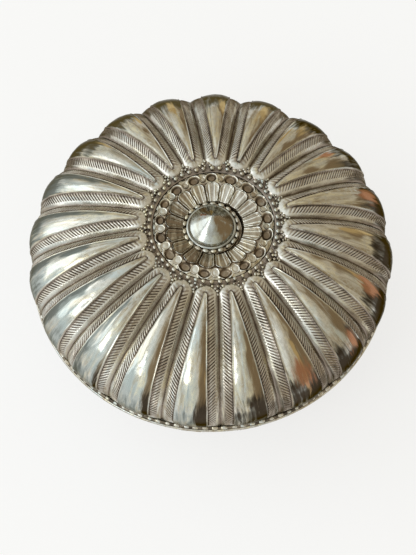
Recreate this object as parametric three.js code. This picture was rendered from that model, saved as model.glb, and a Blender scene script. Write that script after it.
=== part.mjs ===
import * as THREE from 'three';
import { mergeVertices } from 'three/addons/utils/BufferGeometryUtils.js';

// A round silver box with a lift-off lid, raised in twenty lobes like a melon. Millimetres, +Z up.
// The origin is the centre of the foot's resting face.

// Overall sizes
const mouthRadius = 65;
const seamHeight = 36;
const gap = 0.3;
const sheet = 0.9;

// Lobes, shared by the lid and the base
const lobeCount = 20;
const lobePhase = 5.2;
const lobeDrift = 2.4;
const lobeDriftPeak = 145;
const lobeSharpness = 2.4;
const lobeFullness = 0.7;
const lobeOnset = 0.6;

// Lid dome, measured up from the seam between lid and base
const domeHeight = 30.7;
const domeSetback = 0.4;
const domeTuck = 0.9;
const domeTuckStart = 0.8;
const domeRadiusPower = 1.49;
const domeHeightPower = 0.81;
const lidLobeRise = 4.8;
const lidRiseFade = 0.4;
const lidMouthRise = 0.5;

// Wires and bands at the mouth
const edgeWireHeight = 1.2;
const edgeWireRounding = 0.35;
const rimBeadPitch = 3.3;
const rimBeadRadius = 0.75;
const rimBeadInset = 0.9;
const bandThickness = 0.9;
const lidBandHeight = 7;
const flangeRise = 5;
const baseWireSetback = 0.6;

// Medallion in the middle of the lid
const dishRadius = 21;
const dishSheet = 0.8;
const dishEdgeLift = 0.3;
const dishFloorMargin = 0.5;
const dishDepth = 3.8;
const petalCount = 17;
const petalPhase = -1;
const petalDrift = 5.4;
const petalDriftPeak = 150;
const petalCrown = 0.6;
const cupWidth = 4.4;
const cupDepth = 0.7;
const rosetteBeadPitch = 2.7;
const rosetteBeadRadius = 0.75;

// Cone finial, its collar and its rivet
const coneHeight = 7.8;
const coneSkirtHeight = 1.2;
const coneSkirtInset = 0.15;
const coneLipRadius = 8.4;
const coneLipWidth = 0.8;
const coneLipHeight = 0.5;
const collarHeight = 0.7;
const collarCrown = 0.6;
const collarTaper = 0.3;
const collarBeadPitch = 2.4;
const collarBeadRadius = 0.55;
const shankRadius = 2;
const rivetHeadLap = 1.2;
const rivetHeadHeight = 0.8;
const roveMargin = 1.8;
const roveThickness = 0.8;

// Base bowl and foot
const bowlFloorRadius = 36;
const bowlShoulderInset = 9;
const bowlShoulderDrop = 18;
const bowlLobeRise = 3.2;
const bowlMouthRise = 0.4;
const footHeight = 3;
const footWidth = 4;
const footFlare = 1;
const footSpread = 0.5;

// Fineness of the faceted surfaces
const stepsPerLobe = 6;
const domeRows = 8;
const bowlRows = 6;
const stepsPerPetal = 4;
const stepsPerBead = 2;
const beadSides = 5;
const turnedSegments = 60;
const smallSegments = 30;

const fullTurn = 2 * Math.PI;
const nearSide = -Math.PI / 2;
const radians = THREE.MathUtils.degToRad;

// Sizes that follow from the ones above
const edgeWireBottom = gap / 2;
const rimBeadHeight = edgeWireBottom + edgeWireHeight + gap + rimBeadRadius;
const shellMouthHeight = rimBeadHeight + rimBeadRadius + gap;
const domeGrooveRadius = mouthRadius - domeSetback;
const shellMouthRadius = domeGrooveRadius - domeTuck;
const lidBandRadius = shellMouthRadius - sheet - gap;
const flangeRadius = lidBandRadius - bandThickness - gap;
const ledgeInnerRadius = dishRadius + 2 * gap;
const domeTopRadius = ledgeInnerRadius + 2 * rosetteBeadRadius;
const shankHole = shankRadius + gap;
const collarRadius = coneLipRadius + 2 * (collarBeadRadius + gap);
const dishFloorRadius = collarRadius + dishFloorMargin;
const petalTipRadius = dishRadius - cupWidth;
const dishTop = domeHeight + dishEdgeLift;
const dishFloor = dishTop - dishDepth;
const seatDrop = dishSheet + gap;
const collarTop = dishFloor + gap + collarHeight;
const coneBase = collarTop + collarCrown + gap;

// Shares of a round count that the craftsman's hand let drift: crowded on one side, wider on the other.
function driftedAngle(share, count, phase, drift, peak) {
  const even = share * (360 / count);
  return nearSide + radians(even + phase + drift * Math.cos(radians(even - peak)));
}

function lobeAngle(share) {
  return driftedAngle(share, lobeCount, lobePhase, lobeDrift, lobeDriftPeak);
}

function petalAngle(share) {
  return driftedAngle(share, petalCount, petalPhase, petalDrift, petalDriftPeak);
}

// Roundness across one lobe or petal: 0 in the groove at each side and 1 along the middle.
function archAcross(share, sharpness, fullness) {
  const fromMiddle = Math.abs(2 * (share - Math.floor(share)) - 1);
  return (1 - fromMiddle ** sharpness) ** fullness;
}

function lobeArch(share) {
  return archAcross(share, lobeSharpness, lobeFullness);
}

function around(radius, height, angle) {
  return new THREE.Vector3(radius * Math.cos(angle), radius * Math.sin(angle), height);
}

// Joins two neighbouring rings with triangles; a ring of one point is a pole on the axis.
function joinRings(indices, first, second) {
  const count = Math.max(first.count, second.count);
  for (let j = 0; j < count; j += 1) {
    const next = (j + 1) % count;
    if (first.count === 1) {
      indices.push(first.start, second.start + j, second.start + next);
    } else if (second.count === 1) {
      indices.push(first.start + j, second.start, first.start + next);
    } else {
      indices.push(first.start + j, second.start + j, first.start + next);
      indices.push(first.start + next, second.start + j, second.start + next);
    }
  }
}

// A closed skin over rings of points that run outward on the upper side and back on the lower.
function skinOfRings(rings) {
  const spans = [];
  const points = [];
  rings.forEach((ring) => {
    spans.push({ start: points.length, count: ring.length });
    points.push(...ring);
  });
  const indices = [];
  spans.slice(1).forEach((span, i) => joinRings(indices, spans[i], span));
  if (spans[0].count > 1) {
    joinRings(indices, spans[spans.length - 1], spans[0]);
  }
  const geometry = new THREE.BufferGeometry().setFromPoints(points);
  geometry.setIndex(indices);
  return geometry;
}

// Each point of a grid of rings pushed in from the surface by the sheet's thickness.
function insideOf(rings, thickness) {
  const clampRow = (i) => Math.min(Math.max(i, 0), rings.length - 1);
  return rings.map((ring, i) => ring.map((point, j) => {
    const count = ring.length;
    const outward = rings[clampRow(i + 1)][j].clone().sub(rings[clampRow(i - 1)][j]);
    const sideways = ring[(j + 1) % count].clone().sub(ring[(j + count - 1) % count]);
    const normal = outward.cross(sideways).normalize();
    return point.clone().addScaledVector(normal, -thickness);
  }));
}

// A ring brought to one height, for the flat edge of a mouth.
function levelled(ring, height) {
  return ring.map((point) => new THREE.Vector3(point.x, point.y, height));
}

// A piece turned on the axis from a closed outline of radius and height pairs.
function turned(outline, segments = turnedSegments) {
  const points = [...outline, outline[0]].map(([radius, height]) => new THREE.Vector2(radius, height));
  const geometry = new THREE.LatheGeometry(points, segments);
  geometry.rotateX(Math.PI / 2);
  geometry.deleteAttribute('normal');
  geometry.deleteAttribute('uv');
  return mergeVertices(geometry);
}

// A flat-sided hoop between two radii and two heights.
function hoop(innerRadius, outerRadius, bottom, top, segments = turnedSegments) {
  return turned([[innerRadius, bottom], [outerRadius, bottom], [outerRadius, top], [innerRadius, top]],
    segments);
}

// A wire with a rounded outer edge.
function edgeWire(innerRadius, outerRadius, bottom) {
  const top = bottom + edgeWireHeight;
  return turned([
    [innerRadius, bottom],
    [outerRadius - edgeWireRounding, bottom],
    [outerRadius, bottom + edgeWireRounding],
    [outerRadius, top - edgeWireRounding],
    [outerRadius - edgeWireRounding, top],
    [innerRadius, top],
  ]);
}

// A ring of beads struck from one wire: full at each bead and narrow between them.
function beadedWire(radius, height, beadPitch, beadRadius) {
  const waistRadius = beadRadius / 2;
  const steps = Math.round(fullTurn * radius / beadPitch) * stepsPerBead;
  const rings = [];
  for (let side = 0; side < beadSides; side += 1) {
    const turn = -fullTurn * side / beadSides;
    const ring = [];
    for (let i = 0; i < steps; i += 1) {
      const size = i % stepsPerBead === 0 ? beadRadius : waistRadius;
      const angle = fullTurn * i / steps;
      ring.push(around(radius + size * Math.cos(turn), height + size * Math.sin(turn), angle));
    }
    rings.push(ring);
  }
  return skinOfRings(rings);
}

function lobedRing(radius, height) {
  const steps = lobeCount * stepsPerLobe;
  return Array.from({ length: steps }, (_, i) => around(radius, height, lobeAngle(i / stepsPerLobe)));
}

// One ring of a lobed surface: the groove's point moved out along its normal by the lobe's rise.
function risenRing(point, normal, rise) {
  const steps = lobeCount * stepsPerLobe;
  return Array.from({ length: steps }, (_, i) => {
    const lift = rise * lobeArch(i / stepsPerLobe);
    return around(point.x + normal.x * lift, point.y + normal.y * lift, lobeAngle(i / stepsPerLobe));
  });
}

// The groove line of the lid's dome, from the medallion (0) to the mouth (1).
function domeGroove(along) {
  const quarter = along * Math.PI / 2;
  const tuck = domeTuck * Math.max(0, (along - domeTuckStart) / (1 - domeTuckStart)) ** 2;
  const reach = Math.sin(quarter) ** domeRadiusPower;
  const climb = Math.max(0, Math.cos(quarter)) ** domeHeightPower;
  return new THREE.Vector2(
    domeTopRadius + (domeGrooveRadius - domeTopRadius) * reach - tuck,
    shellMouthHeight + (domeHeight - shellMouthHeight) * climb,
  );
}

function domeRise(along) {
  const swell = Math.max(0, Math.sin(Math.PI * along)) ** lobeOnset;
  return lidLobeRise * swell * (1 - lidRiseFade * along) + lidMouthRise * along;
}

// The outward normal of a curve in the plane of radius and height, running out and down.
function outwardNormal(curve, along) {
  const step = 0.001;
  const before = curve(Math.max(0, along - step));
  const after = curve(Math.min(1, along + step));
  const run = after.sub(before).normalize();
  return new THREE.Vector2(-run.y, run.x);
}

function lidShell() {
  const outside = [
    lobedRing(shankHole, dishFloor - seatDrop),
    lobedRing(dishFloorRadius, dishFloor - seatDrop),
    lobedRing(dishRadius + gap, dishTop - cupDepth - seatDrop),
    lobedRing(ledgeInnerRadius, domeHeight),
  ];
  for (let row = 0; row <= domeRows; row += 1) {
    const along = row / domeRows;
    outside.push(risenRing(domeGroove(along), outwardNormal(domeGroove, along), domeRise(along)));
  }
  const inside = insideOf(outside, sheet);
  outside.push(levelled(outside.pop(), shellMouthHeight));
  inside.push(levelled(inside.pop(), shellMouthHeight));
  return skinOfRings([...outside, ...inside.reverse()]);
}

// The bowl's groove line runs from its foot (0) up to its mouth (1), here below the seam.
const bowlFloorHeight = footHeight + gap - seamHeight;
const bowlMouthHeight = -(edgeWireBottom + edgeWireHeight + gap);
const bowlCurve = new THREE.QuadraticBezierCurve(
  new THREE.Vector2(bowlFloorRadius, bowlFloorHeight),
  new THREE.Vector2(shellMouthRadius - bowlShoulderInset, bowlMouthHeight - bowlShoulderDrop),
  new THREE.Vector2(shellMouthRadius, bowlMouthHeight),
);

function bowlRise(along) {
  const swell = Math.max(0, Math.sin(Math.PI * along)) ** lobeOnset;
  return bowlLobeRise * swell + bowlMouthRise * along;
}

function baseBowl() {
  const point = (along) => bowlCurve.getPoint(along);
  const outside = [];
  for (let row = 0; row <= bowlRows; row += 1) {
    const along = row / bowlRows;
    const normal = outwardNormal(point, along).negate();
    outside.push(risenRing(point(along), normal, bowlRise(along)));
  }
  const inside = insideOf(outside, -sheet);
  outside.push(levelled(outside.pop(), bowlMouthHeight));
  inside.push(levelled(inside.pop(), bowlMouthHeight));
  inside[0] = lobedRing(bowlFloorRadius, bowlFloorHeight + sheet);
  const innerPole = [new THREE.Vector3(0, 0, bowlFloorHeight + sheet)];
  const outerPole = [new THREE.Vector3(0, 0, bowlFloorHeight)];
  return skinOfRings([innerPole, ...inside, ...outside.reverse(), outerPole]);
}

function petalRing(radius, height, crown) {
  const steps = petalCount * stepsPerPetal;
  return Array.from({ length: steps }, (_, i) => {
    const lift = crown * archAcross(i / stepsPerPetal, 2, 1);
    return around(radius, height + lift, petalAngle(i / stepsPerPetal));
  });
}

// The medallion plate: fluted petals that slope down to a flat floor, and a round cup behind each tip.
function rosetteDish() {
  const cupEdge = dishTop - cupDepth;
  const top = [
    petalRing(shankHole, dishFloor, 0),
    petalRing(dishFloorRadius, dishFloor, petalCrown / 2),
    petalRing((dishFloorRadius + petalTipRadius) / 2, (dishFloor + cupEdge) / 2, petalCrown),
    petalRing(petalTipRadius, cupEdge, petalCrown),
    petalRing((petalTipRadius + dishRadius) / 2, dishTop, -cupDepth),
    petalRing(dishRadius, dishTop, 0),
  ];
  const underside = [
    petalRing(dishRadius, cupEdge - dishSheet, 0),
    petalRing(petalTipRadius, cupEdge - dishSheet, 0),
    petalRing(dishFloorRadius, dishFloor - dishSheet, 0),
    petalRing(shankHole, dishFloor - dishSheet, 0),
  ];
  return skinOfRings([...top, ...underside]);
}

function rosetteBeads() {
  const radius = ledgeInnerRadius + rosetteBeadRadius;
  return beadedWire(radius, domeHeight + gap + rosetteBeadRadius, rosetteBeadPitch, rosetteBeadRadius);
}

function finialCollar() {
  const bottom = dishFloor + gap;
  const crownRadius = coneLipRadius - gap;
  return turned([
    [shankHole, bottom],
    [collarRadius - collarTaper, bottom],
    [collarRadius, collarTop],
    [crownRadius, collarTop],
    [crownRadius, collarTop + collarCrown],
    [shankHole, collarTop + collarCrown],
  ], smallSegments);
}

function finialCollarBeads() {
  const radius = coneLipRadius + gap + collarBeadRadius;
  return beadedWire(radius, collarTop + gap + collarBeadRadius, collarBeadPitch, collarBeadRadius);
}

const shellSeatUnderside = dishFloor - seatDrop - sheet;
const roveTop = shellSeatUnderside - gap;
const rivetHeadTop = roveTop - roveThickness - gap;
const rivetHeadRadius = shankRadius + rivetHeadLap;

// The cone is one casting with its lip and its shank, whose lower end is hammered into a head. It stands
// on a short steep skirt.
function finialCone() {
  const lipTop = coneBase + coneLipHeight;
  const skirtRadius = coneLipRadius - coneLipWidth;
  const outline = [
    [rivetHeadRadius, rivetHeadTop - rivetHeadHeight],
    [rivetHeadRadius, rivetHeadTop],
    [shankRadius, rivetHeadTop],
    [shankRadius, coneBase],
    [coneLipRadius, coneBase],
    [coneLipRadius, lipTop],
    [skirtRadius, lipTop],
    [skirtRadius - coneSkirtInset, lipTop + coneSkirtHeight],
  ];
  const rings = outline.map(([radius, height]) => Array.from(
    { length: smallSegments },
    (_, i) => around(radius, height, fullTurn * i / smallSegments),
  ));
  const apex = [new THREE.Vector3(0, 0, lipTop + coneHeight)];
  const foot = [new THREE.Vector3(0, 0, rivetHeadTop - rivetHeadHeight)];
  return skinOfRings([apex, ...rings.reverse(), foot]);
}

// The upright band that the lid slips over; its lower edge is wedged in the bowl's tapering mouth.
function baseFlange() {
  const taper = bowlShoulderInset / bowlShoulderDrop;
  const wedgeDepth = (lidBandRadius - flangeRadius) / taper;
  return hoop(flangeRadius - bandThickness, flangeRadius, bowlMouthHeight - wedgeDepth, flangeRise);
}

function footRing() {
  const outerRadius = bowlFloorRadius + footSpread;
  const innerRadius = outerRadius - footWidth;
  return turned([
    [innerRadius, 0],
    [outerRadius, 0],
    [outerRadius - footFlare, footHeight],
    [innerRadius, footHeight],
  ]);
}

// Finishes: polished work is brighter and smoother than the sheet, and the hidden faces are duller.
function silver(color, roughness) {
  return new THREE.MeshStandardMaterial({ color, roughness, metalness: 1 });
}

const chasedSilver = () => silver(0xa39c8e, 0.32);
const burnishedSilver = () => silver(0xc2bfb6, 0.2);
const tarnishedSilver = () => silver(0x857a68, 0.42);
const plainSilver = () => silver(0xb0aca2, 0.35);

function piece(group, name, geometry, material) {
  const mesh = new THREE.Mesh(geometry, material);
  mesh.name = name;
  group.add(mesh);
}

function baseGroup() {
  const group = new THREE.Group();
  const wireInner = flangeRadius + gap;
  piece(group, 'base_bowl', baseBowl(), chasedSilver());
  piece(group, 'base_flange', baseFlange(), plainSilver());
  piece(group, 'base_edge_wire',
    edgeWire(wireInner, mouthRadius - baseWireSetback, -edgeWireBottom - edgeWireHeight), plainSilver());
  group.position.z = seamHeight;
  return group;
}

function lidGroup() {
  const group = new THREE.Group();
  piece(group, 'lid_shell', lidShell(), chasedSilver());
  piece(group, 'lid_mouth_band',
    hoop(lidBandRadius - bandThickness, lidBandRadius, edgeWireBottom, lidBandHeight), plainSilver());
  piece(group, 'lid_edge_wire', edgeWire(lidBandRadius + gap, mouthRadius, edgeWireBottom), plainSilver());
  piece(group, 'lid_beaded_wire',
    beadedWire(mouthRadius - rimBeadInset, rimBeadHeight, rimBeadPitch, rimBeadRadius), chasedSilver());
  piece(group, 'rosette_dish', rosetteDish(), tarnishedSilver());
  piece(group, 'rosette_beads', rosetteBeads(), chasedSilver());
  piece(group, 'finial_collar', finialCollar(), tarnishedSilver());
  piece(group, 'finial_collar_beads', finialCollarBeads(), chasedSilver());
  piece(group, 'finial_cone', finialCone(), burnishedSilver());
  piece(group, 'finial_rove',
    hoop(shankHole, rivetHeadRadius + roveMargin, roveTop - roveThickness, roveTop, smallSegments),
    plainSilver());
  group.position.z = seamHeight;
  return group;
}

const box = new THREE.Group();
piece(box, 'foot_ring', footRing(), plainSilver());
box.add(baseGroup());
box.add(lidGroup());

export default box;
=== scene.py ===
"""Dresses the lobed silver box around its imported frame: chased sheet, wires, medallion and foot."""
import logging
import math
from dataclasses import dataclass, field
from enum import Enum
from functools import cached_property

import bpy
import numpy as np
from mathutils import Matrix, Vector


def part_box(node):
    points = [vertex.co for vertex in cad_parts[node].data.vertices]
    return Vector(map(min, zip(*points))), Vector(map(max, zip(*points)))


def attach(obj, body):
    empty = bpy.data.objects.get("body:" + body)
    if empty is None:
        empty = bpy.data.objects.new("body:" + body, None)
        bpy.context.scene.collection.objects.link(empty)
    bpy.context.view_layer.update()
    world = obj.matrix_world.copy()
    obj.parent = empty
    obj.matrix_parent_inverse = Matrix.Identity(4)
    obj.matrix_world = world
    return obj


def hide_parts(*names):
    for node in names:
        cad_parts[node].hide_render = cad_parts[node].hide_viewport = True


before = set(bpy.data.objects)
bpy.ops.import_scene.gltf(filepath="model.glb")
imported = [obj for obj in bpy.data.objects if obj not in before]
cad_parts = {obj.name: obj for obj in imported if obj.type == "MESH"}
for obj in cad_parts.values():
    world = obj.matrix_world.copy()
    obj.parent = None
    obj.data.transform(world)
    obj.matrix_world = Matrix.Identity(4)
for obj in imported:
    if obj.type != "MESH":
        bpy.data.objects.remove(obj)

LOG = logging.getLogger("silver_box")
MM = 0.001
FULL_TURN = 2 * math.pi
NEAR_SIDE = -math.pi / 2
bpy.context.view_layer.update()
# Marks that the mesh carries: tarnish in hollows, matt work, wear with painted highlights, painted
# reflections and painted shade.
MARKS = ("recess", "matt", "worn", "cool", "tan", "slate", "olive", "umber", "copper", "gold")
FLOW = "flow"
NOISE_ROUGHNESS = 0.6

Array = np.ndarray
Marks = dict[str, Array]
Pair = tuple[float, float]
Triple = tuple[float, float, float]
Box = tuple[Triple, Triple]
Socket = bpy.types.NodeSocket


class Slot(Enum):
    """The record's material slots."""

    CHASED = "chased_silver"
    BURNISHED = "burnished_silver"
    TARNISHED = "tarnished_silver"
    PLAIN = "plain_silver"


class Body(Enum):
    """The two bodies that part when the lid is lifted."""

    BASE = "base"
    LID = "lid"


def step(low: float, high: float, value: Array) -> Array:
    """A soft step from 0 at low to 1 at high.

    Args:
        low: Value at which the step starts.
        high: Value at which the step is complete.
        value: Values to pass through the step.

    Returns:
        The stepped values, from 0 to 1.
    """
    share = np.clip((value - low) / (high - low), 0.0, 1.0)
    return share * share * (3 - 2 * share)


def ripple(value: Array, centre: float, width: float) -> Array:
    """A bell-shaped ridge of height 1 round one value.

    Args:
        value: Values to test.
        centre: Value at the ridge's crest.
        width: Distance from the crest at which the ridge has mostly gone.

    Returns:
        The ridge's height at each value.
    """
    return np.exp(-(((value - centre) / width) ** 2))


@dataclass
class HandSpacing:
    """Even shares of a turn that the craftsman's hand let drift.

    Angles are in degrees. The count starts at the near side and runs to the right.
    """

    count: int
    phase: float
    drift: float
    drift_peak: float

    def angle(self, share: Array) -> Array:
        """Where each share of the count lies.

        Args:
            share: Places counted in shares, from 0 to the count.

        Returns:
            The angle from +X of each, in radians.
        """
        even = np.asarray(share) * (360.0 / self.count)
        drifted = even + self.phase + self.drift * np.cos(np.radians(even - self.drift_peak))
        return np.radians(drifted) + NEAR_SIDE


@dataclass
class HandNoise:
    """Smooth, repeatable unevenness over a surface that closes round the axis."""

    seed: int
    cells_around: int
    cells_along: int

    def sample(self, turn_share: Array, along: Array) -> Array:
        """Unevenness at each place.

        Args:
            turn_share: Share of a full turn, any number.
            along: Share of the surface's length, from 0 to 1.

        Returns:
            Values from -1 to 1.
        """
        lattice = np.random.default_rng(self.seed).uniform(-1, 1, (self.cells_around, self.cells_along + 2))
        across = (turn_share % 1.0) * self.cells_around
        down = np.clip(along, 0, 1) * self.cells_along
        column = np.floor(across).astype(int)
        row = np.floor(down).astype(int)
        blend_across = step(0, 1, across - column)
        blend_down = step(0, 1, down - row)
        left, right = column % self.cells_around, (column + 1) % self.cells_around
        near = lattice[left, row] * (1 - blend_across) + lattice[right, row] * blend_across
        far = lattice[left, row + 1] * (1 - blend_across) + lattice[right, row + 1] * blend_across
        return near * (1 - blend_down) + far * blend_down


def facing(angle: Array, side: float) -> Array:
    """How squarely each angle faces a side, given in degrees from +X: from 1 down to -1."""
    return np.cos(angle - math.radians(side))


def around(radius: Array, height: Array, angle: Array) -> Array:
    """Points at a radius, a height and an angle from +X, as an array whose last side is x, y, z."""
    radius, height, angle = np.broadcast_arrays(radius, height, angle)
    return np.stack([radius * np.cos(angle), radius * np.sin(angle), height], axis=-1)


def grid_faces(rows: int, columns: int, closes: bool) -> Array:
    """Quads of a grid whose columns close round the axis.

    Args:
        rows: Number of rings.
        columns: Points in each ring.
        closes: Whether the last ring joins the first.

    Returns:
        Vertex numbers, four to a face, facing out where rings run outward on the upper side.
    """
    row = np.arange(rows if closes else rows - 1)[:, None]
    column = np.arange(columns)[None, :]
    next_row = (row + 1) % rows
    next_column = (column + 1) % columns
    corners = [row * columns + column, next_row * columns + column,
               next_row * columns + next_column, row * columns + next_column]
    return np.stack(corners, axis=-1).reshape(-1, 4)


def inset(rings: Array, thickness: float) -> Array:
    """A grid of rings pushed in along its own normals.

    Args:
        rings: Points as rows, columns and x, y, z.
        thickness: How far to push, in metres.

    Returns:
        The moved points in the same layout.
    """
    outward = np.gradient(rings, axis=0)
    sideways = np.roll(rings, -1, axis=1) - np.roll(rings, 1, axis=1)
    normal = np.cross(outward, sideways)
    normal /= np.linalg.norm(normal, axis=-1, keepdims=True) + 1e-12
    return rings - normal * thickness


@dataclass
class Piece:
    """One dressed piece: its mesh data, the node that it stands for and the body that it rides on.

    The offset is how far off the box's axis the piece was set, in x and y.
    """

    name: str
    body: Body
    slot: Slot
    nodes: tuple[str, ...]
    sharp_angle: float = 50.0
    offset: Pair = (0.0, 0.0)
    vertices: list[Array] = field(default_factory=list)
    faces: list[Array] = field(default_factory=list)
    flow: list[Array] = field(default_factory=list)
    marks: dict[str, list[Array]] = field(default_factory=dict)

    def add_skin(self, rings: Array, closes: bool = True, flow: Array | None = None,
                 **marks: Array | float) -> None:
        """Adds a grid of rings as one skin, with a number from 0 to 1 at each point for every named mark.

        Args:
            rings: Points in metres, as rows, columns and x, y, z.
            closes: Whether the last ring joins the first.
            flow: Where each point lies along the work, for grain that follows it; the points if left out.
            **marks: Values for the finish to read, such as how deep a point lies in the chasing.
        """
        start = sum(len(block) for block in self.vertices)
        flat = rings.reshape(-1, 3)
        self.vertices.append(flat)
        self.faces.append(grid_faces(*rings.shape[:2], closes) + start)
        self.flow.append(flat if flow is None else flow.reshape(-1, 3))
        for name in MARKS:
            values = np.broadcast_to(marks.get(name, 0.0), rings.shape[:2])
            self.marks.setdefault(name, []).append(values.reshape(-1))

    def build(self, finish: "Finish") -> None:
        """Makes the object, dresses it and sets it on its body.

        Args:
            finish: The surface to give it.
        """
        mesh = bpy.data.meshes.new(self.name)
        points = np.concatenate(self.vertices) + np.array([*self.offset, 0.0])
        loops = [face.tolist() for face in self.faces]
        mesh.from_pydata(points.tolist(), [], [face for block in loops for face in block])
        for name, blocks in self.marks.items():
            layer = mesh.attributes.new(name, "FLOAT", "POINT")
            layer.data.foreach_set("value", np.concatenate(blocks).astype(np.float32))
        layer = mesh.attributes.new(FLOW, "FLOAT_VECTOR", "POINT")
        layer.data.foreach_set("vector", np.concatenate(self.flow).astype(np.float32).ravel())
        mesh.shade_smooth()
        mesh.set_sharp_from_angle(angle=math.radians(self.sharp_angle))
        mesh.materials.append(finish.material())
        piece = bpy.data.objects.new(self.name, mesh)
        bpy.context.scene.collection.objects.link(piece)
        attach(piece, self.body.value)
        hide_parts(*self.nodes)
        LOG.info("%s: %d points, rides on %s", self.name, len(points), self.body.value)


def levels(box: Box) -> Pair:
    """The lowest and the highest level of a box."""
    return box[0][2], box[1][2]


def padded(marks: Marks, before: int, recess_before: float, after: int, recess_after: float) -> Marks:
    """Marks with plain rows added at both ends, which are darkened by the recess mark alone.

    Args:
        marks: The marks, as rows and columns.
        before: Number of rows to add in front.
        recess_before: Value of the recess mark on them.
        after: Number of rows to add behind.
        recess_after: Value of the recess mark on them.

    Returns:
        The longer marks, by name.
    """
    rows = ((before, after), (0, 0))
    recess = np.pad(marks["recess"], rows, constant_values=((recess_before, recess_after), (0, 0)))
    return {name: np.pad(values, rows) for name, values in marks.items()} | {"recess": recess}


def turned(outline: Array, segments: int) -> Array:
    """Rings of points turned on the axis from pairs of radius and height.

    Args:
        outline: Radius and height of each ring, in metres, clockwise when drawn with the axis at the left.
        segments: Points in each ring.

    Returns:
        Points as rows, columns and x, y, z.
    """
    angle = np.linspace(0, FULL_TURN, segments, endpoint=False)
    return around(outline[:, :1], outline[:, 1:], angle[None, :])


def rounded_outline(corners: list[Pair], radius: float, steps: int = 4) -> Array:
    """A closed outline with every corner rounded.

    Args:
        corners: Radius and height of each corner, in order.
        radius: How far each rounding reaches back along its two sides.
        steps: Points in each rounding.

    Returns:
        Radius and height of each point of the outline.
    """
    points = []
    corner_array = np.array(corners, dtype=float)
    for index, corner in enumerate(corner_array):
        before = corner_array[index - 1] - corner
        after = corner_array[(index + 1) % len(corner_array)] - corner
        reach = min(radius, np.linalg.norm(before) / 2.2, np.linalg.norm(after) / 2.2)
        start = corner + before / np.linalg.norm(before) * reach
        end = corner + after / np.linalg.norm(after) * reach
        for share in np.linspace(0, 1, steps):
            points.append((1 - share) ** 2 * start + 2 * share * (1 - share) * corner + share ** 2 * end)
    return np.array(points)


def band_corners(inner: float, outer: float, low: float, high: float) -> list[Pair]:
    """The corners of an upright band's section."""
    return [(inner, high), (outer, high), (outer, low), (inner, low)]


class Wiring:
    """Adds nodes to the tree of a material or a world and links them."""

    def __init__(self, tree: bpy.types.NodeTree) -> None:
        """Takes the tree to work on."""
        self.tree = tree

    @cached_property
    def place(self) -> Socket:
        """Where each point lies along the work, as the mesh holds it."""
        return self.add("ShaderNodeAttribute", attribute_name=FLOW).outputs["Vector"]

    def add(self, kind: str, **settings: object) -> bpy.types.Node:
        """Adds a node.

        Args:
            kind: Blender's name for the type of node.
            **settings: Values for the node's own properties.

        Returns:
            The new node.
        """
        node = self.tree.nodes.new(kind)
        for name, value in settings.items():
            setattr(node, name, value)
        return node

    def feed(self, node: bpy.types.Node, **entries: object) -> None:
        """Links sockets, or sets numbers and colours, on the node's inputs of these names.

        Args:
            node: The node to feed.
            **entries: A socket, number or tuple for each input, with _ where its name has a blank.
        """
        for name, entry in entries.items():
            socket = node.inputs[name.replace("_", " ")]
            if isinstance(entry, Socket):
                self.tree.links.new(entry, socket)
            else:
                socket.default_value = (*entry, 1.0) if socket.type == "RGBA" else entry

    def ramp(self, value: Socket, low: float, high: float,
             at_low: float = 0.0, at_high: float = 1.0) -> Socket:
        """A soft step between two levels.

        Args:
            value: The socket that drives the step.
            low: Value at which the step starts.
            high: Value at which the step is complete.
            at_low: Level below the step.
            at_high: Level above it.

        Returns:
            The socket with the level.
        """
        node = self.add("ShaderNodeMapRange", interpolation_type="SMOOTHSTEP")
        self.feed(node, Value=value, From_Min=low, From_Max=high, To_Min=at_low, To_Max=at_high)
        return node.outputs["Result"]

    def noise(self, scale: float, detail: float, stretch: Triple = (1, 1, 1),
              distortion: float = 0.0) -> Socket:
        """A noise over the surface.

        Args:
            scale: Cells per metre.
            detail: How many finer noises are laid over the first.
            stretch: Share of the scale that counts along each direction.
            distortion: How far the cells are bent out of shape.

        Returns:
            The socket with values from 0 to 1.
        """
        mapping = self.add("ShaderNodeMapping")
        self.feed(mapping, Vector=self.place, Scale=stretch)
        node = self.add("ShaderNodeTexNoise")
        self.feed(node, Vector=mapping.outputs["Vector"], Scale=scale, Detail=detail,
                  Roughness=NOISE_ROUGHNESS, Distortion=distortion)
        return node.outputs["Fac"]

    def mark(self, name: str) -> Socket:
        """The named number that the mesh holds at each point."""
        return self.add("ShaderNodeAttribute", attribute_name=name).outputs["Fac"]

    def math(self, operation: str, first: Socket, second: Socket | float, clamp: bool = False) -> Socket:
        """One step of arithmetic.

        Args:
            operation: Blender's name for it.
            first: The first value.
            second: The second value, or a number.
            clamp: Whether the result is kept from 0 to 1.

        Returns:
            The socket with the result.
        """
        node = self.add("ShaderNodeMath", operation=operation, use_clamp=clamp)
        for socket, entry in zip(node.inputs, (first, second)):
            if isinstance(entry, Socket):
                self.tree.links.new(entry, socket)
            else:
                socket.default_value = entry
        return node.outputs["Value"]

    def mix(self, share: Socket, first: Socket | Triple, second: Socket | Triple) -> Socket:
        """A colour between two others.

        Args:
            share: How much of the second colour there is.
            first: The first colour or colour socket.
            second: The second one.

        Returns:
            The socket with the mixed colour.
        """
        node = self.add("ShaderNodeMix", data_type="RGBA")
        self.feed(node, Factor=share, A=first, B=second)
        return node.outputs["Result"]


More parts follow.
